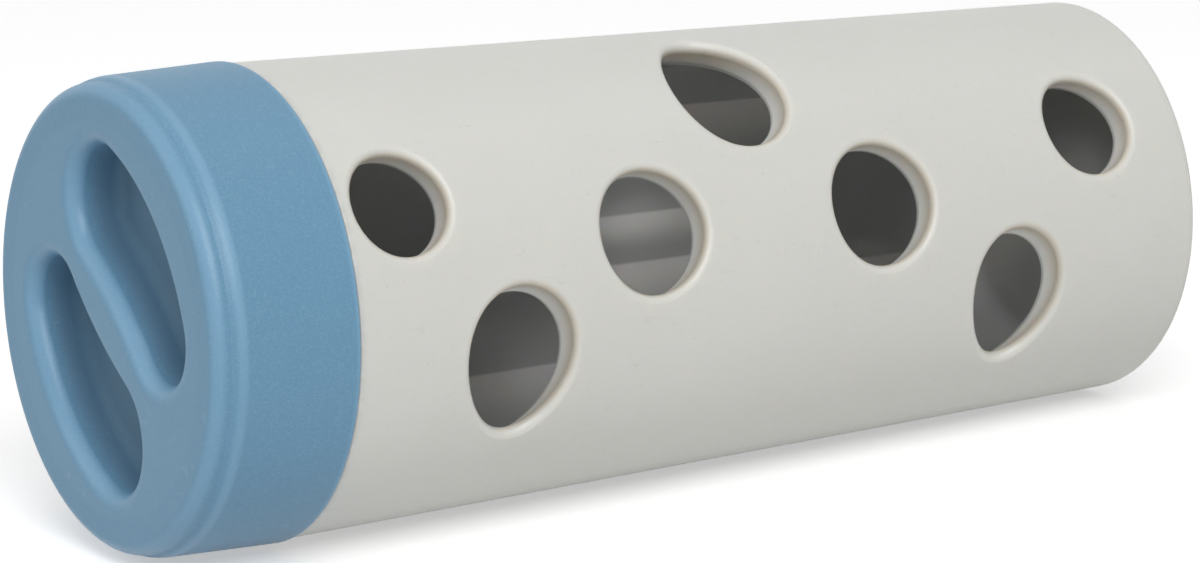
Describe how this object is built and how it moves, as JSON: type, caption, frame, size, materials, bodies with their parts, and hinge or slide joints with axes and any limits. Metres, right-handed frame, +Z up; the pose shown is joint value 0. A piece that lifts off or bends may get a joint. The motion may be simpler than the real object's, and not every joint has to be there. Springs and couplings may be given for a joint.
{
  "type": "treat dispensing roll toy",
  "caption": "Tapered hollow roll with one closed end, treat holes in one side and a screw-on cap with finger grips; treats drop out as a pet rolls it.",
  "frame": {"origin": "on the surface the roll lies on, under the cap's widest ring, at the middle of the roll's length", "axes": "+X along the roll's axis from the cap to the closed end, +Z up, the treat holes towards -Y"},
  "size_m": [0.1486, 0.06, 0.06],
  "materials": {
    "tube_plastic": "fine matte outside, smoother inside",
    "cap_plastic": "fine spark texture",
    "seal_rubber": "smooth, dull"
  },
  "bodies": {
    "tube": {"tube": "tube_plastic"},
    "seal_ring": {"seal_ring": "seal_rubber"},
    "cap": {"cap": "cap_plastic"}
  },
  "joints": [
    {"name": "cap_travel", "type": "slide", "parent": "tube", "child": "seal_ring", "axis": [-1, 0, 0], "range_m": [0, 0.016]},
    {"name": "cap_turn", "type": "hinge", "parent": "seal_ring", "child": "cap", "pos_m": [-0.06, 0, 0.03], "axis": [-1, 0, 0], "range_deg": [0, 360]}
  ],
  "couplings": [
    {"joint": "cap_travel", "follows": "cap_turn", "m_per_rad": 0.0025465}
  ]
}
